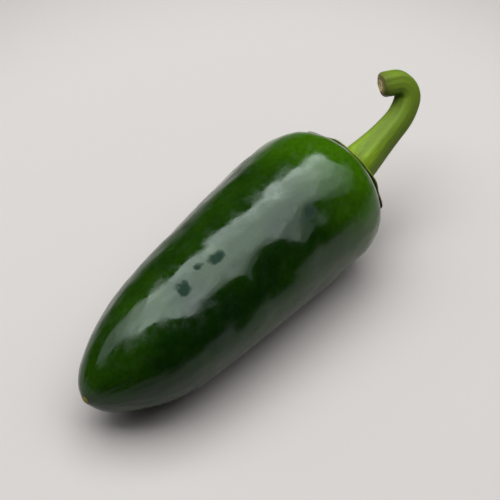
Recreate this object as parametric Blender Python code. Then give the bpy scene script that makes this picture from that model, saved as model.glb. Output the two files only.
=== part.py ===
"""Chilli pepper: a glossy green pod lying on its side, with its curled stem and toothed calyx.

Metres, +Z up. The pod's long axis runs along X, with the tip at -X and the stem at +X. The origin is
on the table, in the middle of the small flat spot that the pod rests on.
"""

import math

import bmesh
import bpy
from mathutils import Vector

MM = 0.001

# Pod. Places along it are parts of its length, counted from the tip.
POD_LENGTH = 69.5 * MM  # tip to the rim round the stem
POD_RADIUS = 14.3 * MM  # at its widest
TIP_TO_ORIGIN = 46 * MM
WIDEST = 0.79
AXIS_HEIGHT = 13.75 * MM  # of the pod's axis over the table, where the pod is widest
AXIS_SLOPE = 0.04  # the axis comes down by this much per length towards the tip
TIP_DROOP = 1.3 * MM  # the tip hangs lower than that axis by this
DROOP_START = 0.4
TIP_SWAY = 1.6 * MM  # the tip bends sideways by this
SWAY_START = 0.25
NECK_SWAY = -1.2 * MM  # and so does the stem end, the other way
NECK_START = 0.75
LOBES = 3  # seed chambers, which show as soft lobes round the pod
LOBE_HEIGHT = 0.014  # as a part of the radius
LOBE_TURN = math.radians(20)
LOBE_START = 0.3  # no lobes at the tip, up to here
LOBE_FULL = 0.9

# Half outline of the pod: (place along it, part of its greatest radius)
POD_OUTLINE = (
    (-0.003, 0.000),  # scar of the flower, a low button
    (-0.0025, 0.030),
    (-0.0005, 0.055),
    (0.003, 0.095),
    (0.018, 0.228),  # blunt tip
    (0.047, 0.371),
    (0.096, 0.525),
    (0.156, 0.666),
    (0.238, 0.783),
    (0.357, 0.862),
    (0.506, 0.920),  # long, nearly straight side
    (0.655, 0.968),
    (0.789, 1.000),
    (0.878, 0.988),
    (0.929, 0.902),  # shoulder
    (0.963, 0.700),
    (0.991, 0.455),
    (1.000, 0.300),  # rim of the shallow hollow round the stem
    (0.997, 0.150),
    (0.991, 0.000),
)
OUTLINE_STEPS = 2  # faces between two of those points
SHOULDER_STEPS = 8  # the same, where the calyx is laid on the pod
POD_SIDES = 48

# Calyx
CALYX_RADIUS = 8.5 * MM
CALYX_GAP = 0.3 * MM  # clear of the pod's skin
CALYX_EDGE = 0.5 * MM  # thickness at the edge
CALYX_CROWN = 1.2 * MM  # and beside the stem
CALYX_BULGE = 0.15 * MM  # roundness of the edge
CALYX_TEETH = (  # (degrees round from +Y over the top, length)
    (54, 3.1 * MM),
    (118, 0.4 * MM),
    (182, 1.7 * MM),
    (240, 2.4 * MM),
    (298, 1.6 * MM),
    (356, 2.6 * MM),
)
TOOTH_WIDTH = math.radians(14)  # from its middle to where it has sunk to a third
TOOTH_ROOT = 0.6  # part of the calyx's radius where the teeth begin to show
CALYX_RINGS = 7  # faces from its middle to its edge

# Stem
STEM_RADIUS = 2.73 * MM  # at the root, from where it narrows evenly to the cut end
STEM_END_RADIUS = 2.5 * MM
STEM_FOOT_RADIUS = 4.1 * MM  # where it widens into the calyx
STEM_FOOT_LENGTH = 8.6 * MM
STEM_YAW = math.radians(-16.7)  # heading at the root, from the pod's long axis
STEM_PITCH = math.radians(18.6)
STEM_LEAN = math.radians(34)  # the plane that it curls in leans over sideways
STEM_ARCS = (  # (length, bend radius)
    (14.8 * MM, 137 * MM),
    (5.15 * MM, 10.4 * MM),
    (5.75 * MM, 2.88 * MM),
    (2.5 * MM, 500 * MM),  # nearly straight to the cut end
)
STEM_START = 2 * MM  # where its sides leave the calyx
STEM_FREE = 5 * MM  # from here on it no longer follows the pod's skin
STEM_RIDGES = 5
RIDGE_HEIGHT = 0.035  # as a part of the radius
CUT_ROUND = 0.7 * MM  # rounding of the cut end
CUT_DISH = 0.3 * MM  # depth of its dished middle
STEM_SIDES = 60
STEM_STEPS = 30

SMALLEST = 0.001 * MM  # points nearer than this are one point
SHARP = math.radians(50)
POD_GREEN = (0.012, 0.055, 0.006, 1)
STEM_GREEN = (0.14, 0.24, 0.02, 1)


def clear_scene():
    for obj in list(bpy.data.objects):
        bpy.data.objects.remove(obj, do_unlink=True)


def ramp(value, start, end):
    """0 before start, 1 after end, and a smooth rise between."""
    part = min(max((value - start) / (end - start), 0), 1)
    return part * part * (3 - 2 * part)


def spline_value(knots, values, i, at):
    """Value at knot position at, between points i and i + 1 of a Catmull-Rom spline."""

    def mix(first, second, a, b):
        return ((knots[b] - at) * first + (at - knots[a]) * second) / (knots[b] - knots[a])

    near = [mix(values[k], values[k + 1], k, k + 1) for k in range(i - 1, i + 2)]
    middle = [mix(near[k], near[k + 1], i - 1 + k, i + 1 + k) for k in range(2)]
    return mix(middle[0], middle[1], i, i + 1)


def pod_outline(steps):
    """Points of the smooth curve through the pod's outline, with steps from one point to the next."""
    # Mirrored across the axis at both ends, so that the curve meets the axis squarely.
    (before_x, before_r), (after_x, after_r) = POD_OUTLINE[1], POD_OUTLINE[-2]
    points = [(before_x, -before_r), *POD_OUTLINE, (after_x, -after_r)]
    knots = [0.0]
    for (ax, ar), (bx, br) in zip(points, points[1:]):
        knots.append(knots[-1] + math.sqrt(math.hypot((bx - ax) * POD_LENGTH, (br - ar) * POD_RADIUS)))
    places, radii = zip(*points)
    curve = [POD_OUTLINE[0]]
    for i in range(1, len(points) - 2):
        for step in range(1, steps + 1):
            at = knots[i] + (knots[i + 1] - knots[i]) * step / steps
            curve.append((spline_value(knots, places, i, at), spline_value(knots, radii, i, at)))
    curve[-1] = POD_OUTLINE[-1]
    return curve


def pod_axis(along):
    """Sideways place and height of the pod's axis."""
    sway = TIP_SWAY * max(1 - along / SWAY_START, 0) ** 2
    sway += NECK_SWAY * max((along - NECK_START) / (1 - NECK_START), 0) ** 2
    height = AXIS_HEIGHT + AXIS_SLOPE * (along - WIDEST) * POD_LENGTH
    height -= TIP_DROOP * max(1 - along / DROOP_START, 0) ** 3
    return sway, height


def pod_point(along, part, angle):
    """Point of the pod's skin, where its outline has this part of the greatest radius."""
    sway, height = pod_axis(along)
    lobes = LOBE_HEIGHT * math.cos(LOBES * angle + LOBE_TURN) * ramp(along, LOBE_START, LOBE_FULL)
    reach = part * (1 + lobes) * POD_RADIUS
    return Vector((
        along * POD_LENGTH - TIP_TO_ORIGIN,
        sway + reach * math.cos(angle),
        height + reach * math.sin(angle),
    ))


def spun_profile(profile, sides):
    """A bmesh of the profile's (distance, radius) points, turned once round the X axis."""
    bm = bmesh.new()
    verts = [bm.verts.new((x, r, 0)) for x, r in profile]
    edges = [bm.edges.new(pair) for pair in zip(verts, verts[1:])]
    bmesh.ops.spin(
        bm,
        geom=verts + edges,
        cent=(0, 0, 0),
        axis=(1, 0, 0),
        angle=2 * math.pi,
        steps=sides,
        use_merge=True,
    )
    bmesh.ops.remove_doubles(bm, verts=bm.verts, dist=SMALLEST)
    return bm


def finish_object(bm, name, color, roughness):
    """The bmesh as a smooth-shaded object with a material of its own."""
    bmesh.ops.recalc_face_normals(bm, faces=bm.faces)
    if bm.calc_volume(signed=True) < 0:
        bmesh.ops.reverse_faces(bm, faces=bm.faces)
    mesh = bpy.data.meshes.new(name)
    bm.to_mesh(mesh)
    bm.free()
    mesh.shade_smooth()
    mesh.set_sharp_from_angle(angle=SHARP)
    material = bpy.data.materials.new(name)
    material.use_nodes = True
    shader = material.node_tree.nodes["Principled BSDF"]
    shader.inputs["Base Color"].default_value = color
    shader.inputs["Roughness"].default_value = roughness
    shader.inputs["Metallic"].default_value = 0
    mesh.materials.append(material)
    obj = bpy.data.objects.new(name, mesh)
    bpy.context.collection.objects.link(obj)
    return obj


def make_pod():
    """The pod, turned from its half outline, bent along its axis and cut flat where it rests."""
    outline = pod_outline(OUTLINE_STEPS)
    bm = spun_profile([(along * POD_LENGTH, part * POD_RADIUS) for along, part in outline], POD_SIDES)
    for vert in bm.verts:
        part = math.hypot(vert.co.y, vert.co.z) / POD_RADIUS
        vert.co = pod_point(vert.co.x / POD_LENGTH, part, math.atan2(vert.co.z, vert.co.y))
    cut = bmesh.ops.bisect_plane(
        bm,
        geom=bm.verts[:] + bm.edges[:] + bm.faces[:],
        plane_co=(0, 0, 0),
        plane_no=(0, 0, 1),
        clear_inner=True,
    )
    rim = [edge for edge in cut["geom_cut"] if isinstance(edge, bmesh.types.BMEdge)]
    bmesh.ops.contextual_create(bm, geom=rim)
    return finish_object(bm, "pod", POD_GREEN, 0.25)


def skin_place(shoulder, part):
    """Place along the pod where its shoulder has this part of the greatest radius."""
    for (ax, ar), (bx, br) in zip(shoulder, shoulder[1:]):
        if br >= part:
            break
    return ax + (bx - ax) * (part - ar) / (br - ar)


def skin_point(shoulder, radius, angle, lift):
    """Point that stands off the pod's shoulder by lift, at this radius round the stem."""
    step = 0.01
    part = radius / POD_RADIUS
    here = pod_point(skin_place(shoulder, part), part, angle)
    if part < step:
        return here + Vector((lift, 0, 0))
    outer = pod_point(skin_place(shoulder, part + step), part + step, angle)
    aside = pod_point(skin_place(shoulder, part), part, angle + step)
    return here + (outer - here).cross(aside - here).normalized() * lift


def stem_line(distance):
    """Forward and upward place and heading of the stem's centre line, in the plane that it curls in."""
    forward = up = 0.0
    heading = STEM_PITCH
    for length, bend in STEM_ARCS:
        turned = heading + min(max(distance, 0), length) / bend
        forward += bend * (math.sin(turned) - math.sin(heading))
        up -= bend * (math.cos(turned) - math.cos(heading))
        heading = turned
        distance -= length
    return forward, up, heading


def stem_point(root, distance, radius, angle):
    """Point at this distance from the stem's root and this far from its centre line."""
    ahead = Vector((math.cos(STEM_YAW), math.sin(STEM_YAW), 0))
    aside = Vector((-math.sin(STEM_YAW), math.cos(STEM_YAW), 0))
    rise = aside * math.sin(STEM_LEAN) + Vector((0, 0, math.cos(STEM_LEAN)))
    forward, up, heading = stem_line(distance)
    outward = rise * math.cos(heading) - ahead * math.sin(heading)
    # The plane leans over, so the angle gives back its lean to match the angle on the pod.
    turn = angle + STEM_LEAN
    across = rise.cross(ahead) * math.cos(turn) + outward * math.sin(turn)
    return root + ahead * forward + rise * up + across * radius


def stem_profile():
    """(distance up the stem, radius, lift from the skin) from under the calyx, over its edge and up."""
    length = sum(arc[0] for arc in STEM_ARCS)
    profile = []
    for i in range(CALYX_RINGS + 1):
        profile.append((0, CALYX_RADIUS * i / CALYX_RINGS, CALYX_GAP))
    profile.append((0, CALYX_RADIUS + CALYX_BULGE, CALYX_GAP + CALYX_EDGE / 2))
    for i in range(CALYX_RINGS, 0, -1):
        radius = CALYX_RADIUS * i / CALYX_RINGS
        thickness = CALYX_CROWN + (CALYX_EDGE - CALYX_CROWN) * i / CALYX_RINGS
        if radius > STEM_FOOT_RADIUS:
            profile.append((0, radius, CALYX_GAP + thickness))
    for i in range(STEM_STEPS + 1):
        at = STEM_START + (length - CUT_ROUND - STEM_START) * i / STEM_STEPS
        foot = math.exp(-((at / STEM_FOOT_LENGTH) ** 2)) * (STEM_FOOT_RADIUS - STEM_RADIUS)
        profile.append((at, STEM_RADIUS + (STEM_END_RADIUS - STEM_RADIUS) * at / length + foot, at))
    for degrees in (30, 60, 90):
        turn = math.radians(degrees)
        at = length - CUT_ROUND * (1 - math.sin(turn))
        profile.append((at, STEM_END_RADIUS - CUT_ROUND * (1 - math.cos(turn)), at))
    for part in (0.6, 0):
        at = length - CUT_DISH * (1 - part**2)
        profile.append((at, (STEM_END_RADIUS - CUT_ROUND) * part, at))
    return profile


def tooth_reach(angle):
    """How far the calyx's edge reaches out past its radius at this angle."""
    reach = 0
    for degrees, length in CALYX_TEETH:
        off = (angle - math.radians(degrees) + math.pi) % (2 * math.pi) - math.pi
        reach += length * math.exp(-((off / TOOTH_WIDTH) ** 2))
    return reach


def make_stem_with_calyx():
    """The stem and calyx as one closed skin: its profile is turned straight, then laid on the pod."""
    profile = stem_profile()
    # Each ring is turned a millimetre from the last one, and is told by that from the others below.
    bm = spun_profile([(row * MM, radius) for row, (_, radius, _) in enumerate(profile)], STEM_SIDES)
    shoulder = [point for point in reversed(pod_outline(SHOULDER_STEPS)) if point[0] > WIDEST]
    root = skin_point(shoulder, 0, 0, 0)
    for vert in bm.verts:
        at, radius, lift = profile[round(vert.co.x / MM)]
        angle = math.atan2(vert.co.z, vert.co.y)
        tooth = tooth_reach(angle) * ramp(radius, TOOTH_ROOT * CALYX_RADIUS, CALYX_RADIUS)
        ridge = RIDGE_HEIGHT * math.cos(STEM_RIDGES * angle) * ramp(at, 0, STEM_FREE)
        on_skin = skin_point(shoulder, radius + tooth, angle, lift)
        free = stem_point(root, at, radius * (1 + ridge), angle)
        vert.co = on_skin.lerp(free, ramp(at, 0, STEM_FREE))
    return finish_object(bm, "stem_with_calyx", STEM_GREEN, 0.5)


def main():
    clear_scene()
    make_pod()
    make_stem_with_calyx()


main()
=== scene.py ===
import math

import bmesh
import bpy
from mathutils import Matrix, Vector, noise


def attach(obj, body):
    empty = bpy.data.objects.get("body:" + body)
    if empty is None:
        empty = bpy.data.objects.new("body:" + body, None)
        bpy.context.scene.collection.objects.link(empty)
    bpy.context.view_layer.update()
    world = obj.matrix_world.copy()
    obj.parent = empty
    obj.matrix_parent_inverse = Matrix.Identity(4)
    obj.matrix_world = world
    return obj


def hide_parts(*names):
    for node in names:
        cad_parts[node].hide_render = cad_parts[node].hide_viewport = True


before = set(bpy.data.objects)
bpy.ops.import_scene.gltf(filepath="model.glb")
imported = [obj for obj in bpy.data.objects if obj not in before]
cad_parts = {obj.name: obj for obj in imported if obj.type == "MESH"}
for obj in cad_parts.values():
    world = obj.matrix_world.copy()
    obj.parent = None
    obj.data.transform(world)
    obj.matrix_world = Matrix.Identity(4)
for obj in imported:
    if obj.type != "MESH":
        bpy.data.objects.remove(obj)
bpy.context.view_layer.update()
mm = 0.001
weldDistance = 0.001 * mm
noiseSpan = (0.3, 0.7)  # nearly all of a noise texture's values lie between these
noiseMiddle = 0.5
print("frame loaded:", sorted(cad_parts))


def ramp(value, start, end):
    # 0 before start, 1 after end, smooth between
    part = min(max((value - start) / (end - start), 0), 1)
    return part * part * (3 - 2 * part)


def angleOff(angle, degrees):
    # the shorter way round from this many degrees to the angle, in radians
    return (angle - math.radians(degrees) + math.pi) % (2 * math.pi) - math.pi


def linearColor(hexText):
    # sRGB hex to the linear colour that a shader wants
    parts = [int(hexText[i : i + 2], 16) / 255 for i in (1, 3, 5)]
    return [p / 12.92 if p <= 0.04045 else ((p + 0.055) / 1.055) ** 2.4 for p in parts] + [1]


def addNode(tree, kind, links=None, **settings):
    # settings are the node's own, links gives each socket another node's socket or a fixed value
    node = tree.nodes.new(kind)
    for name, value in settings.items():
        setattr(node, name, value)
    for socket, value in (links or {}).items():
        if isinstance(value, bpy.types.NodeSocket):
            tree.links.new(value, node.inputs[socket])
        else:
            node.inputs[socket].default_value = value
    return node


def newMaterial(name):
    material = bpy.data.materials.new(name)
    material.use_nodes = True
    tree = material.node_tree
    return material, tree, tree.nodes["Principled BSDF"]


def spunProfile(profile, sides):
    # (distance, radius) points, turned once round the X axis
    bm = bmesh.new()
    verts = [bm.verts.new((x, r, 0)) for x, r in profile]
    edges = [bm.edges.new(pair) for pair in zip(verts, verts[1:])]
    bmesh.ops.spin(bm, geom=verts + edges, cent=(0, 0, 0), axis=(1, 0, 0), angle=2 * math.pi,
                   steps=sides, use_merge=True)
    bmesh.ops.remove_doubles(bm, verts=bm.verts, dist=weldDistance)
    return bm


def finishPiece(bm, name, materials):
    bmesh.ops.recalc_face_normals(bm, faces=bm.faces)
    if bm.calc_volume(signed=True) < 0:
        bmesh.ops.reverse_faces(bm, faces=bm.faces)
    mesh = bpy.data.meshes.new(name)
    bm.to_mesh(mesh)
    bm.free()
    mesh.shade_smooth()
    for material in materials:
        mesh.materials.append(material)
    piece = bpy.data.objects.new(name, mesh)
    bpy.context.collection.objects.link(piece)
    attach(piece, "root")
    return piece


view = {
    "azimuth": -48.743,  # degrees, the photo's viewing angle
    "elevation": 50,
    "target": Vector((5.424, 8.238, 0)) * mm,
    "distance": 286.418 * mm,
    "lens": 102.911,  # in mm, on the sensor below
    "sensor": 36,
    "nearestSeen": 10 * mm,
}


def cameraAxes():
    # from the target back to the camera, and the picture's right-hand side
    a, e = math.radians(view["azimuth"]), math.radians(view["elevation"])
    back = Vector((math.sin(a) * math.cos(e), -math.cos(a) * math.cos(e), math.sin(e)))
    right = Vector((math.cos(a), math.sin(a), 0))
    return back, right


def addCamera():
    back, _ = cameraAxes()
    data = bpy.data.cameras.new("camera")
    data.lens = view["lens"]
    data.sensor_width = view["sensor"]
    data.clip_start = view["nearestSeen"]
    camera = bpy.data.objects.new("camera", data)
    camera.location = view["target"] + back * view["distance"]
    camera.rotation_euler = back.to_track_quat("Z", "Y").to_euler()
    bpy.context.collection.objects.link(camera)
    bpy.context.scene.camera = camera


studio = {
    "floorColor": "#94918F",  # pale, and lit to a light grey
    "paintedShadeFloorColor": "#4A4948",  # painted shade, as if out of the light
    "paintedShadeFade": (0.070, 0.18),  # painted shade: from the middle, where it starts and ends
    "floorRoughness": 0.9,
    "floorShine": 0.2,
    "floorSize": 14.0,
    "floorDrop": 0.01 * mm,  # below the pepper's flat spot, so that the two don't coincide
    "roomLight": 0.005,
    "panelHeight": 0.90,
    "panels": {  # left and right edge, near and far edge, in metres as seen by the camera, and radiance
        "farLeft": ((-2.20, -1.20), (-0.24, 0.80), 1.8),
        "left": ((-1.20, -0.80), (-0.24, 0.70), 3.0),
        "innerLeft": ((-0.80, -0.55), (-0.20, 0.52), 4.8),
        "softboxNear": ((-0.55, -0.10), (-0.26, 0.02), 8.0),
        "softbox": ((-0.55, -0.10), (0.02, 0.30), 7.2),
        "softboxFar": ((-0.55, -0.10), (0.30, 0.60), 8.8),
        "middleNear": ((-0.10, 0.34), (-0.28, -0.02), 7.0),
        "middle": ((-0.10, 0.34), (-0.02, 0.30), 5.8),
        "middleFar": ((-0.10, 0.34), (0.30, 0.42), 7.5),
        "strip": ((-0.10, 0.34), (0.42, 0.66), 11.5),  # the bright streak along the highlight's upper edge
        "innerRight": ((0.34, 0.60), (-0.36, 0.50), 5.4),
        "right": ((0.60, 0.90), (-0.38, 0.50), 2.8),
        "farRight": ((0.90, 1.60), (-0.42, 0.65), 1.1),
    },
}


def addPanel(name, across, away, height, radiance):
    # a level light over the table, its edges given from where the camera stands
    _, right = cameraAxes()
    forward = Vector((0, 0, 1)).cross(right)
    data = bpy.data.lights.new(name, "AREA")
    data.shape = "RECTANGLE"
    data.size = across[1] - across[0]
    data.size_y = away[1] - away[0]
    data.energy = radiance * data.size * data.size_y * math.pi
    light = bpy.data.objects.new(name, data)
    light.location = right * sum(across) / 2 + forward * sum(away) / 2 + Vector((0, 0, height))
    light.rotation_euler = (0, 0, math.radians(view["azimuth"]))
    bpy.context.collection.objects.link(light)


def palePlasterFloor():
    # smooth matt plaster: pale near the pepper, with painted shade darker away from it
    material, tree, shader = newMaterial("palePlasterFloor")
    place = addNode(tree, "ShaderNodeTexCoord").outputs["Object"]
    away = addNode(tree, "ShaderNodeVectorMath", {0: place}, operation="LENGTH").outputs["Value"]
    start, end = studio["paintedShadeFade"]
    # painted shade: the floor's colour darkens with distance from the middle
    paintedShade = addNode(tree, "ShaderNodeMapRange", {
        "Value": away, "From Min": start, "From Max": end}, interpolation_type="SMOOTHSTEP").outputs[0]
    color = addNode(tree, "ShaderNodeMix", {
        0: paintedShade, 6: linearColor(studio["floorColor"]), 7: linearColor(studio["paintedShadeFloorColor"])},
        data_type="RGBA").outputs[2]
    tree.links.new(color, shader.inputs["Base Color"])
    shader.inputs["Roughness"].default_value = studio["floorRoughness"]
    shader.inputs["Specular IOR Level"].default_value = studio["floorShine"]
    return material


def addFloor():
    bm = bmesh.new()
    bmesh.ops.create_grid(bm, x_segments=2, y_segments=2, size=studio["floorSize"] / 2)
    mesh = bpy.data.meshes.new("floor")
    bm.to_mesh(mesh)
    bm.free()
    mesh.materials.append(palePlasterFloor())
    floor = bpy.data.objects.new("floor", mesh)
    floor.location.z = -studio["floorDrop"]
    bpy.context.collection.objects.link(floor)


def addStudio():
    world = bpy.data.worlds.new("room")
    world.use_nodes = True
    world.node_tree.nodes["Background"].inputs["Color"].default_value = (1, 1, 1, 1)
    world.node_tree.nodes["Background"].inputs["Strength"].default_value = studio["roomLight"]
    bpy.context.scene.world = world
    bpy.context.scene.view_settings.view_transform = "Standard"
    addFloor()
    for name, (across, away, radiance) in studio["panels"].items():
        addPanel(name, across, away, studio["panelHeight"], radiance)


addCamera()
addStudio()
print("camera and studio done")


podLook = {
    "deep": "#061802",  # the dark flank
    "fresh": "#264702",  # the shoulder, round the stem
    "flankFresh": 0.2,  # how fresh the green is at the tip, where 1 is the shoulder's
    "freshRise": (2 * mm, 19 * mm),  # from the origin towards the stem, where it turns fresh
    "bruise": "#0C2016",  # where the wax is worn dull
    "scar": "#74642A",  # dried, where the flower's style fell off
    "patchSize": 9 * mm,
    "patchShade": 0.12,  # how much fresher or deeper a patch is
    "speckSize": 0.9 * mm,
    "speckShade": (0.86, 1.14),
    "waxSize": 2.4 * mm,  # how far the wax bloom's thick and thin places lie apart
    "waxSpan": (0.35, 0.65),  # of the wax pattern, from all thin to all thick
    "gloss": (0.08, 0.28),  # roughness of thin and of thick wax
    "dullGloss": 0.95,
    "fray": (2.4, -0.2),  # how the wax pattern eats into a bruise: factor, and what is added
    "frayEdge": (0.15, 0.75),  # where the frayed bruise begins and is whole
    "scarFray": 0.7,
    "scarEdge": (0.25, 0.75),
    "peelSize": 1.3 * mm,
    "peelDepth": 0.015 * mm,
    "ior": 1.36,
    "shine": "#ECFCF7",  # the wax takes a little red out of what it mirrors
}


def waxyPepperSkin():
    # fresh pepper skin under its own wax: dark green, with a clear gloss that breaks up over dull spots
    material, tree, shader = newMaterial("waxyPepperSkin")
    place = addNode(tree, "ShaderNodeTexCoord").outputs["Object"]
    fresh = addNode(tree, "ShaderNodeAttribute", attribute_name="fresh").outputs["Fac"]
    dull = addNode(tree, "ShaderNodeAttribute", attribute_name="dull").outputs["Fac"]
    scar = addNode(tree, "ShaderNodeAttribute", attribute_name="scar").outputs["Fac"]
    least, most = noiseSpan
    # green that turns fresher towards the stem, in large patches and small specks, with painted shade and
    # painted light on two flanks
    patches = addNode(tree, "ShaderNodeTexNoise", {
        "Vector": place, "Scale": 1 / podLook["patchSize"], "Detail": 3}).outputs["Fac"]
    uneven = addNode(tree, "ShaderNodeMapRange", {
        "Value": patches, "From Min": least, "From Max": most,
        "To Min": -podLook["patchShade"], "To Max": podLook["patchShade"]}).outputs[0]
    freshnessWithPaintedShading = addNode(tree, "ShaderNodeMath", {
        0: fresh, 1: uneven}, operation="ADD", use_clamp=True).outputs[0]
    green = addNode(tree, "ShaderNodeMix", {
        0: freshnessWithPaintedShading, 6: linearColor(podLook["deep"]), 7: linearColor(podLook["fresh"])},
        data_type="RGBA").outputs[2]
    specks = addNode(tree, "ShaderNodeTexNoise", {
        "Vector": place, "Scale": 1 / podLook["speckSize"], "Detail": 2}).outputs["Fac"]
    darkest, lightest = podLook["speckShade"]
    shade = addNode(tree, "ShaderNodeMapRange", {
        "Value": specks, "From Min": least, "From Max": most,
        "To Min": darkest, "To Max": lightest}).outputs[0]
    green = addNode(tree, "ShaderNodeVectorMath", {0: green, 3: shade}, operation="SCALE").outputs[0]
    # the wax bloom, which frays the edges of the bruises
    wax = addNode(tree, "ShaderNodeTexNoise", {
        "Vector": place, "Scale": 1 / podLook["waxSize"], "Detail": 3, "Roughness": 0.6}).outputs["Fac"]
    factor, added = podLook["fray"]
    bite = addNode(tree, "ShaderNodeMath", {
        0: wax, 1: factor, 2: added}, operation="MULTIPLY_ADD").outputs[0]
    bitten = addNode(tree, "ShaderNodeMath", {0: dull, 1: bite}, operation="MULTIPLY").outputs[0]
    start, whole = podLook["frayEdge"]
    bruised = addNode(tree, "ShaderNodeMapRange", {
        "Value": bitten, "From Min": start, "From Max": whole}).outputs[0]
    green = addNode(tree, "ShaderNodeMix", {
        0: bruised, 6: green, 7: linearColor(podLook["bruise"])}, data_type="RGBA").outputs[2]
    # the scar's edge is ragged
    edge = addNode(tree, "ShaderNodeMath", {
        0: specks, 1: podLook["scarFray"], 2: -podLook["scarFray"] * noiseMiddle},
        operation="MULTIPLY_ADD").outputs[0]
    ragged = addNode(tree, "ShaderNodeMath", {0: scar, 1: edge}, operation="ADD").outputs[0]
    start, whole = podLook["scarEdge"]
    dried = addNode(tree, "ShaderNodeMapRange", {
        "Value": ragged, "From Min": start, "From Max": whole}).outputs[0]
    color = addNode(tree, "ShaderNodeMix", {
        0: dried, 6: green, 7: linearColor(podLook["scar"])}, data_type="RGBA").outputs[2]
    tree.links.new(color, shader.inputs["Base Color"])
    # glossy where the wax is thin, dull where it is worn or dried
    allThin, allThick = podLook["waxSpan"]
    thin, thick = podLook["gloss"]
    waxed = addNode(tree, "ShaderNodeMapRange", {
        "Value": wax, "From Min": allThin, "From Max": allThick,
        "To Min": thin, "To Max": thick}).outputs[0]
    worn = addNode(tree, "ShaderNodeMath", {
        0: bruised, 1: dried}, operation="MAXIMUM", use_clamp=True).outputs[0]
    rough = addNode(tree, "ShaderNodeMix", {0: worn, 2: waxed, 3: podLook["dullGloss"]}).outputs[0]
    tree.links.new(rough, shader.inputs["Roughness"])
    peel = addNode(tree, "ShaderNodeTexNoise", {
        "Vector": place, "Scale": 1 / podLook["peelSize"], "Detail": 2}).outputs["Fac"]
    bump = addNode(tree, "ShaderNodeBump", {"Height": peel, "Distance": podLook["peelDepth"]}).outputs[0]
    tree.links.new(bump, shader.inputs["Normal"])
    shader.inputs["IOR"].default_value = podLook["ior"]
    shader.inputs["Specular Tint"].default_value = linearColor(podLook["shine"])
    return material


pod = {
    "length": 69.5 * mm,  # tip to the rim round the stem
    "radius": 14.3 * mm,
    "tipToOrigin": 46 * mm,
    "widest": 0.79,
    "axisHeight": 13.75 * mm,
    "axisSlope": 0.04,
    "tipDroop": (1.3 * mm, 0.4),  # how far it hangs, and from where
    "tipSway": (1.6 * mm, 0.25),
    "neckSway": (-1.2 * mm, 0.75),
    "lobes": (3, 0.014, math.radians(20)),  # how many, height, turn
    "lobeRise": (0.3, 0.9),  # along the pod, where they begin and are full
    "sides": 288,
    "steps": 12,  # rings between two points of the outline
    "outline": [  # place along the pod, part of the greatest radius
        (-0.003, 0.000), (-0.0025, 0.030), (-0.0005, 0.055), (0.003, 0.095),  # scar of the flower
        (0.018, 0.228), (0.047, 0.371), (0.096, 0.525), (0.156, 0.666),  # blunt tip
        (0.238, 0.783), (0.357, 0.862), (0.506, 0.920), (0.655, 0.968), (0.789, 1.000),  # side
        (0.878, 0.988), (0.929, 0.902), (0.963, 0.700), (0.991, 0.455),  # shoulder
        (1.000, 0.300), (0.997, 0.150), (0.991, 0.000),  # shallow hollow
    ],
    "scar": (0.03, 0.085),  # parts of the greatest radius where it is all dried, and where it ends
    "waves": [  # of the skin, all gentle: size along and round, height
        ((14 * mm, 8 * mm), 0.05 * mm), ((7 * mm, 4.5 * mm), 0.11 * mm), ((3.4 * mm, 2.4 * mm), 0.08 * mm)],
    "reliefRise": (0.1, 0.4),  # parts of the greatest radius between which waves and dents set in
    # spots are: along, degrees round from +Y over the top, length, width, and how much
    "dents": {  # how deep, or how high where it is below zero
        "upperHollow": (0.538, 141, 4.0 * mm, 4.4 * mm, 1.00 * mm),
        "lowerHollow": (0.393, 146, 3.4 * mm, 4.4 * mm, 0.80 * mm),
        "ribBetween": (0.466, 146, 2.4 * mm, 3.8 * mm, -0.24 * mm),
        "ribAbove": (0.640, 144, 3.4 * mm, 3.6 * mm, -0.55 * mm),
        "underShoulder": (0.780, 135, 4.5 * mm, 3.0 * mm, 0.22 * mm),
        "dimple": (0.730, 130, 2.0 * mm, 2.2 * mm, 0.35 * mm),
    },
    "bruises": {  # where the wax is worn dull
        "shoulder": (0.710, 124, 1.7 * mm, 1.3 * mm, 1),
        "middle": (0.444, 102, 1.2 * mm, 1.1 * mm, 1),
        "middleTail": (0.426, 101, 1.0 * mm, 1.1 * mm, 1),
        "small": (0.385, 96, 0.9 * mm, 0.8 * mm, 1),
        "lower": (0.320, 97, 1.2 * mm, 1.2 * mm, 1),
        "lowerTail": (0.312, 103, 1.2 * mm, 1.2 * mm, 1),
    },
    "shades": {  # how much fresher the green is; back is painted shade, flank is painted light, tip is the pod's own colour
        # painted shade: the flank turned towards the camera is coloured deeper green
        "back": (0.35, 134, 26 * mm, 9 * mm, -0.25),
        "tip": (0.02, 110, 6 * mm, 12 * mm, 0.15),
        # painted light: the lower flank is coloured fresher green for the greenish floor light it mirrors
        "flank": (0.50, 180, 30 * mm, 7 * mm, 0.10),
    },
}


def splineValue(knots, values, i, at):
    # of the smooth curve through the values, between knots i and i + 1
    def mix(first, second, a, b):
        return ((knots[b] - at) * first + (at - knots[a]) * second) / (knots[b] - knots[a])

    near = [mix(values[k], values[k + 1], k, k + 1) for k in range(i - 1, i + 2)]
    middle = [mix(near[k], near[k + 1], i - 1 + k, i + 1 + k) for k in range(2)]
    return mix(middle[0], middle[1], i, i + 1)


def smoothOutline(steps):
    # mirrored across the axis at both ends, so that the curve meets the axis squarely
    outline = pod["outline"]
    (beforeX, beforeR), (afterX, afterR) = outline[1], outline[-2]
    points = [(beforeX, -beforeR), *outline, (afterX, -afterR)]
    knots = [0.0]
    for (ax, ar), (bx, br) in zip(points, points[1:]):
        chord = math.hypot((bx - ax) * pod["length"], (br - ar) * pod["radius"])
        knots.append(knots[-1] + math.sqrt(chord))
    places, radii = zip(*points)
    curve = [outline[0]]
    for i in range(1, len(points) - 2):
        for step in range(1, steps + 1):
            at = knots[i] + (knots[i + 1] - knots[i]) * step / steps
            curve.append((splineValue(knots, places, i, at), splineValue(knots, radii, i, at)))
    curve[-1] = outline[-1]
    return curve


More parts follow.
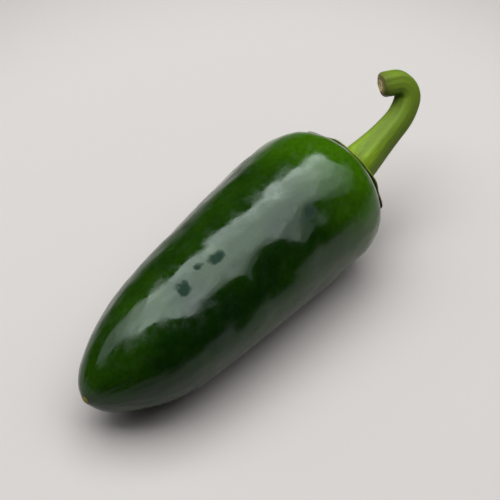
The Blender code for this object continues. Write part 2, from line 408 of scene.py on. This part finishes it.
def podAxis(along):
    # sideways place and height of the pod's axis
    droop, droopStart = pod["tipDroop"]
    tipSway, swayStart = pod["tipSway"]
    neckSway, neckStart = pod["neckSway"]
    sway = tipSway * max(1 - along / swayStart, 0) ** 2
    sway += neckSway * max((along - neckStart) / (1 - neckStart), 0) ** 2
    height = pod["axisHeight"] + pod["axisSlope"] * (along - pod["widest"]) * pod["length"]
    return sway, height - droop * max(1 - along / droopStart, 0) ** 3


def spotsAt(spots, along, turn):
    # what the spots come to at this place: each one's amount in its middle, sinking to 0 around it
    total = 0
    for place, degrees, length, width, amount in spots.values():
        forward = (along - place) * pod["length"] / length
        sideways = angleOff(turn, degrees) * pod["radius"] / width
        total += amount * math.exp(-(forward**2) - sideways**2)
    return total


def podRelief(along, turn):
    # how far the skin stands out from the smooth shape
    height = 0
    for (length, width), depth in pod["waves"]:
        across = pod["radius"] / width
        spot = Vector((along * pod["length"] / length, across * math.cos(turn), across * math.sin(turn)))
        height += depth * noise.noise(spot)
    return height - spotsAt(pod["dents"], along, turn)


def podSkin(along, part, turn):
    # point of the skin where the outline has this part of the greatest radius
    count, lobe, lobeTurn = pod["lobes"]
    sway, height = podAxis(along)
    lobed = lobe * math.cos(count * turn + lobeTurn) * ramp(along, *pod["lobeRise"])
    reach = part * pod["radius"] * (1 + lobed)
    reach += podRelief(along, turn) * ramp(part, *pod["reliefRise"])
    return Vector((along * pod["length"] - pod["tipToOrigin"],
                   sway + reach * math.cos(turn), height + reach * math.sin(turn)))


def podTone(along, turn):
    # how fresh the green is, painted shade and painted light on two flanks included, and how dull the wax
    x = along * pod["length"] - pod["tipToOrigin"]
    least = podLook["flankFresh"]
    fresh = least + (1 - least) * ramp(x, *podLook["freshRise"]) + spotsAt(pod["shades"], along, turn)
    return fresh, min(spotsAt(pod["bruises"], along, turn), 1)


def makePod():
    profile = [(x * pod["length"], r * pod["radius"]) for x, r in smoothOutline(pod["steps"])]
    bm = spunProfile(profile, pod["sides"])
    freshWithPaintedShadingLayer = bm.verts.layers.float.new("fresh")
    dullLayer = bm.verts.layers.float.new("dull")
    scarLayer = bm.verts.layers.float.new("scar")
    for vert in bm.verts:
        along, part = vert.co.x / pod["length"], math.hypot(vert.co.y, vert.co.z) / pod["radius"]
        turn = math.atan2(vert.co.z, vert.co.y)
        vert[freshWithPaintedShadingLayer], vert[dullLayer] = podTone(along, turn)
        if along < pod["widest"]:
            vert[scarLayer] = 1 - ramp(part, *pod["scar"])
        vert.co = podSkin(along, part, turn)
        vert.co.z = max(vert.co.z, 0)  # the skin gives a little where it rests
    piece = finishPiece(bm, "podSkinned", [waxyPepperSkin()])
    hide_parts("pod")


makePod()
print("pod done")


calyx = {
    "radius": 8.5 * mm,
    "gap": 0.08 * mm,  # clear of the pod's skin
    "edge": 0.32 * mm,
    "crown": 1.2 * mm,  # how thick it would be in its middle, under the stem
    "bulge": 0.15 * mm,
    "edgeTurns": (-60, -30, 0, 30, 60),  # degrees round the edge, from the underside to the top
    "teeth": [  # degrees round from +Y over the top, length, and how far the dried tip curls off the pod
        (48, 2.5 * mm, 0.55 * mm), (78, 0.6 * mm, 0.4 * mm), (118, 0.4 * mm, 0), (150, 0.4 * mm, 0.4 * mm),
        (179, 1.7 * mm, 0.5 * mm), (240, 2.4 * mm, 0.2 * mm), (298, 1.6 * mm, 0.2 * mm),
        (356, 2.6 * mm, 0.3 * mm)],
    "toothWidth": math.radians(14),
    "toothRoot": 0.6,  # part of the radius from which the teeth are drawn out
    "veins": (18, 0.12 * mm, 3),  # how many, height, and how narrow
    "driedEdge": (0.84, 1.04),  # parts of the radius between which it dries
    "driedReach": 0.5,  # part of a tooth's length that counts for that
    "driedLeast": 0.4,  # how dried the edge is between the teeth
    "driedTooth": 1 * mm,  # length of a tooth that is all dried
    "rings": 16,
}
stem = {
    "radius": 2.73 * mm,
    "endRadius": 2.5 * mm,
    "footRadius": 4.1 * mm,
    "footLength": 8.6 * mm,
    "yaw": math.radians(-16.7),
    "pitch": math.radians(18.6),
    "lean": math.radians(34),
    "arcs": [  # length and bend radius, from the calyx to the cut
        (14.8 * mm, 137 * mm), (5.15 * mm, 10.4 * mm), (5.75 * mm, 2.88 * mm), (3.2 * mm, 500 * mm)],
    "start": 2 * mm,
    "free": 5 * mm,  # how far up it no longer follows the pod's shoulder
    "ribs": [(5, 0.035, 0.0), (8, 0.016, 0.9), (13, 0.008, 2.1)],  # how many, part of the radius, turn
    "twist": math.radians(1.2),  # of the ribs, for each millimetre up
    "cutRound": 1.3 * mm,
    "cutTurns": (15, 30, 45, 60, 75, 90),  # degrees round the rim of the cut
    "corkStart": 60,  # and past how many it is cork
    "cutDish": 0.3 * mm,
    "cutRings": (0.85, 0.7, 0.55, 0.4, 0.2, 0),  # parts of the cut's radius
    "cutWither": (0.6, 2.6 * mm),  # how dried the end is, and over what length
    "cutSlant": (math.radians(18), math.radians(162), 3.5 * mm),  # tilt, longest side, over what length
    "sides": 180,
    "steps": 110,
    "shoulderSteps": 10,
}
stemLook = {
    "base": "#647E15",  # brightest where it widens into the calyx
    "shaft": "#51661A",
    "baseFade": (2.0, 12.0),  # millimetres up, from the base's colour to the shaft's
    # painted shade: colour of the stem's grooves
    "paintedGrooveShade": "#4A5E14",
    "grooveShade": (0.35, 0.12),  # painted shade between the ribs: how dark where the rib height is nought, and the rib height that is worth 1
    "dried": "#453C26",  # the calyx's edge
    "driedFray": 0.8,
    "streaks": (3.0, 0.12),  # pattern steps round the stem and for each millimetre along it
    "fibres": (14.0, 0.5),
    "fibreShade": (-0.25, 0.35),
    "fibreDepth": 0.06 * mm,
    "roughness": 0.5,
    "ior": 1.2,
}
cutLook = {
    "cork": "#7C6636",
    "crumbSize": 0.5 * mm,
    "crumbDepth": 0.1 * mm,
    "corkRoughness": 0.85,
    "pith": "#AFAE80",
    "cellSize": 0.3 * mm,
    "cellDepth": 0.08 * mm,
    "pithRoughness": 0.9,
}


def ribbedGreenStem():
    # living stem: matt and fibrous, its streaks and fibres run along it and out over the calyx
    material, tree, shader = newMaterial("ribbedGreenStem")
    grain = addNode(tree, "ShaderNodeAttribute", attribute_name="grain").outputs["Vector"]
    dried = addNode(tree, "ShaderNodeAttribute", attribute_name="dried").outputs["Fac"]
    paintedGrooveShade = addNode(tree, "ShaderNodeAttribute", attribute_name="paintedGrooveShade").outputs["Fac"]
    up = addNode(tree, "ShaderNodeSeparateXYZ", {0: grain}).outputs["Z"]
    patterns = []
    for around, along in (stemLook["streaks"], stemLook["fibres"]):
        stretched = addNode(tree, "ShaderNodeMapping", {
            "Vector": grain, "Scale": (around, around, along)}, vector_type="POINT").outputs[0]
        patterns.append(addNode(tree, "ShaderNodeTexNoise", {
            "Vector": stretched, "Scale": 1, "Detail": 3}).outputs["Fac"])
    streaks, fibres = patterns
    # from the bright base to the shaft, in streaks
    start, end = stemLook["baseFade"]
    height = addNode(tree, "ShaderNodeMapRange", {
        "Value": up, "From Min": start, "From Max": end}).outputs[0]
    height = addNode(tree, "ShaderNodeMath", {0: streaks, 1: height}, operation="ADD").outputs[0]
    height = addNode(tree, "ShaderNodeMath", {
        0: height, 1: -noiseMiddle}, operation="ADD", use_clamp=True).outputs[0]
    color = addNode(tree, "ShaderNodeMix", {
        0: height, 6: linearColor(stemLook["base"]), 7: linearColor(stemLook["shaft"])},
        data_type="RGBA").outputs[2]
    # darker between the fibres, and painted shade darker in the grooves
    least, most = noiseSpan
    lightest, darkest = stemLook["fibreShade"]
    dark = addNode(tree, "ShaderNodeMapRange", {
        "Value": fibres, "From Min": least, "From Max": most,
        "To Min": lightest, "To Max": darkest}).outputs[0]
    dark = addNode(tree, "ShaderNodeMath", {
        0: paintedGrooveShade, 1: dark}, operation="ADD", use_clamp=True).outputs[0]
    color = addNode(tree, "ShaderNodeMix", {
        0: dark, 6: color, 7: linearColor(stemLook["paintedGrooveShade"])}, data_type="RGBA").outputs[2]
    # dried, with frayed fibres, at the calyx's edge and at the cut
    edge = addNode(tree, "ShaderNodeMath", {
        0: fibres, 1: stemLook["driedFray"], 2: -stemLook["driedFray"] * noiseMiddle},
        operation="MULTIPLY_ADD").outputs[0]
    edge = addNode(tree, "ShaderNodeMath", {
        0: dried, 1: edge}, operation="ADD", use_clamp=True).outputs[0]
    color = addNode(tree, "ShaderNodeMix", {
        0: edge, 6: color, 7: linearColor(stemLook["dried"])}, data_type="RGBA").outputs[2]
    tree.links.new(color, shader.inputs["Base Color"])
    bump = addNode(tree, "ShaderNodeBump", {"Height": fibres, "Distance": stemLook["fibreDepth"]}).outputs[0]
    tree.links.new(bump, shader.inputs["Normal"])
    shader.inputs["Roughness"].default_value = stemLook["roughness"]
    shader.inputs["IOR"].default_value = stemLook["ior"]
    return material


def corkyCutRim():
    # the skin's edge at the cut: brown, rough and crumbly, as dried cork is
    material, tree, shader = newMaterial("corkyCutRim")
    place = addNode(tree, "ShaderNodeTexCoord").outputs["Object"]
    crumbs = addNode(tree, "ShaderNodeTexNoise", {
        "Vector": place, "Scale": 1 / cutLook["crumbSize"], "Detail": 3}).outputs["Fac"]
    color = addNode(tree, "ShaderNodeMix", {
        0: crumbs, 6: linearColor(stemLook["dried"]), 7: linearColor(cutLook["cork"])},
        data_type="RGBA").outputs[2]
    tree.links.new(color, shader.inputs["Base Color"])
    bump = addNode(tree, "ShaderNodeBump", {"Height": crumbs, "Distance": cutLook["crumbDepth"]}).outputs[0]
    tree.links.new(bump, shader.inputs["Normal"])
    shader.inputs["Roughness"].default_value = cutLook["corkRoughness"]
    return material


def palePith():
    # the stem's cut middle: pale and spongy, in fine cells
    material, tree, shader = newMaterial("palePith")
    place = addNode(tree, "ShaderNodeTexCoord").outputs["Object"]
    cells = addNode(tree, "ShaderNodeTexVoronoi", {
        "Vector": place, "Scale": 1 / cutLook["cellSize"]}).outputs["Distance"]
    color = addNode(tree, "ShaderNodeMix", {
        0: cells, 6: linearColor(cutLook["pith"]), 7: linearColor(cutLook["cork"])},
        data_type="RGBA").outputs[2]
    tree.links.new(color, shader.inputs["Base Color"])
    bump = addNode(tree, "ShaderNodeBump", {"Height": cells, "Distance": cutLook["cellDepth"]}).outputs[0]
    tree.links.new(bump, shader.inputs["Normal"])
    shader.inputs["Roughness"].default_value = cutLook["pithRoughness"]
    return material


skinFace, corkFace, pithFace = range(3)  # places of the three materials on the piece
ringGap = 1 * mm  # between the rings before each is put in its place


def skinPoint(shoulder, radius, turn, lift):
    # stands off the pod's shoulder by lift, at this radius round the stem
    def place(part):
        for (ax, ar), (bx, br) in zip(shoulder, shoulder[1:]):
            if br >= part:
                break
        return ax + (bx - ax) * (part - ar) / (br - ar)

    step = 0.01
    part = radius / pod["radius"]
    here = podSkin(place(part), part, turn)
    if part < step:
        return here + Vector((lift, 0, 0))
    outer = podSkin(place(part + step), part + step, turn)
    aside = podSkin(place(part), part, turn + step)
    return here + (outer - here).cross(aside - here).normalized() * lift


def stemLength():
    return sum(arc[0] for arc in stem["arcs"])


def stemLine(distance):
    # how far ahead and how high the stem's middle is here, and where it heads
    forward = up = 0.0
    heading = stem["pitch"]
    for length, bend in stem["arcs"]:
        turned = heading + min(max(distance, 0), length) / bend
        forward += bend * (math.sin(turned) - math.sin(heading))
        up -= bend * (math.cos(turned) - math.cos(heading))
        heading = turned
        distance -= length
    return forward, up, heading


def stemPoint(root, distance, radius, angle):
    # round the stem's middle, which lies in a plane that leans to one side
    yaw, lean = stem["yaw"], stem["lean"]
    ahead = Vector((math.cos(yaw), math.sin(yaw), 0))
    aside = Vector((-math.sin(yaw), math.cos(yaw), 0))
    rise = aside * math.sin(lean) + Vector((0, 0, math.cos(lean)))
    forward, up, heading = stemLine(distance)
    outward = rise * math.cos(heading) - ahead * math.sin(heading)
    across = rise.cross(ahead) * math.cos(angle + lean) + outward * math.sin(angle + lean)
    return root + ahead * forward + rise * up + across * radius


def stemProfile():
    # (distance up the stem, radius, lift, material) from under the calyx, over its edge and up
    length = stemLength()
    rows = []
    for i in range(calyx["rings"] + 1):
        rows.append((0, calyx["radius"] * i / calyx["rings"], calyx["gap"], skinFace))
    for degrees in calyx["edgeTurns"]:
        t = math.radians(degrees)
        rows.append((0, calyx["radius"] + calyx["bulge"] * math.cos(t),
                     calyx["gap"] + calyx["edge"] * (1 + math.sin(t)) / 2, skinFace))
    for i in range(calyx["rings"], 0, -1):
        radius = calyx["radius"] * i / calyx["rings"]
        thickness = calyx["crown"] + (calyx["edge"] - calyx["crown"]) * i / calyx["rings"]
        if radius > stem["footRadius"]:
            rows.append((0, radius, calyx["gap"] + thickness, skinFace))
    for i in range(stem["steps"] + 1):
        at = stem["start"] + (length - stem["cutRound"] - stem["start"]) * i / stem["steps"]
        foot = math.exp(-((at / stem["footLength"]) ** 2)) * (stem["footRadius"] - stem["radius"])
        radius = stem["radius"] + (stem["endRadius"] - stem["radius"]) * at / length + foot
        rows.append((at, radius, at, skinFace))
    for degrees in stem["cutTurns"]:
        t = math.radians(degrees)
        at = length - stem["cutRound"] * (1 - math.sin(t))
        radius = stem["endRadius"] - stem["cutRound"] * (1 - math.cos(t))
        rows.append((at, radius, at, corkFace if degrees > stem["corkStart"] else skinFace))
    for part in stem["cutRings"]:
        at = length - stem["cutDish"] * (1 - part**2)
        rows.append((at, (stem["endRadius"] - stem["cutRound"]) * part, at, pithFace))
    return rows


def toothReach(angle):
    # how far the calyx's edge reaches out past its radius, and how far it curls off the pod
    reach = curl = 0
    for degrees, length, lift in calyx["teeth"]:
        near = math.exp(-((angleOff(angle, degrees) / calyx["toothWidth"]) ** 2))
        reach += length * near
        curl += lift * near
    return reach, curl


def calyxPoint(shoulder, radius, angle, lift, onTop):
    # place on the calyx, and how dried it is there
    reach, curl = toothReach(angle)
    outer = ramp(radius, calyx["toothRoot"] * calyx["radius"], calyx["radius"])
    lift += curl * outer
    if onTop:
        count, height, narrow = calyx["veins"]
        lift += height * (0.5 + 0.5 * math.cos(count * angle)) ** narrow * (1 - outer)
    start, end = (part * calyx["radius"] for part in calyx["driedEdge"])
    dried = ramp(radius + calyx["driedReach"] * outer * reach, start, end)
    dried *= calyx["driedLeast"] + (1 - calyx["driedLeast"]) * ramp(reach, 0, calyx["driedTooth"])
    return skinPoint(shoulder, radius + outer * reach, angle, lift), dried


def ribHeight(at, angle):
    # of the skin over the stem's plain round, as a part of its radius
    ribs = 0
    for count, height, turn in stem["ribs"]:
        ribs += height * math.cos(count * (angle + stem["twist"] * at / mm) + turn)
    return ribs


def shaftPoint(root, shoulder, at, radius, angle, lift):
    # place on the stem, which leaves the pod's shoulder and is cut at a slant
    ribs = ribHeight(at, angle)
    slant, longSide, slantLength = stem["cutSlant"]
    slope = math.tan(slant) * ramp(at, stemLength() - slantLength, stemLength())
    at += slope * radius * math.cos(angle - longSide)
    standing = stemPoint(root, at, radius * (1 + ribs * ramp(at, 0, stem["free"])), angle)
    if at < stem["free"]:
        return skinPoint(shoulder, radius, angle, lift).lerp(standing, ramp(at, 0, stem["free"]))
    return standing


def makeStemWithCalyx():
    rows = stemProfile()
    bm = spunProfile([(i * ringGap, row[1]) for i, row in enumerate(rows)], stem["sides"])
    grain = bm.verts.layers.float_vector.new("grain")
    dried = bm.verts.layers.float.new("dried")
    paintedGrooveShade = bm.verts.layers.float.new("paintedGrooveShade")
    shoulder = [point for point in reversed(smoothOutline(stem["shoulderSteps"])) if point[0] > pod["widest"]]
    root = skinPoint(shoulder, 0, 0, 0)
    withered, witherLength = stem["cutWither"]
    middle, span = stemLook["grooveShade"]
    # a vertex or face tells by its place along X which ring it is on, until it is put in its place
    for face in bm.faces:
        upperRow = int(face.calc_center_median().x / ringGap) + 1
        face.material_index = rows[min(upperRow, len(rows) - 1)][3]
    for vert in bm.verts:
        row = round(vert.co.x / ringGap)
        at, radius, lift, _ = rows[row]
        angle = math.atan2(vert.co.z, vert.co.y)
        if at > 0:
            vert[grain] = (math.cos(angle), math.sin(angle), at / mm)
            # painted shade: the grooves between the ribs are coloured darker
            vert[paintedGrooveShade] = middle - ribHeight(at, angle) / span
            vert[dried] = withered * ramp(at, stemLength() - witherLength, stemLength())
            vert.co = shaftPoint(root, shoulder, at, radius, angle, lift)
        else:
            vert[grain] = (math.cos(angle), math.sin(angle), -radius / mm)
            vert.co, vert[dried] = calyxPoint(shoulder, radius, angle, lift, row > calyx["rings"])
    piece = finishPiece(bm, "stemAndCalyx", [ribbedGreenStem(), corkyCutRim(), palePith()])
    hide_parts("stem_with_calyx")


makeStemWithCalyx()
print("stem with calyx done")
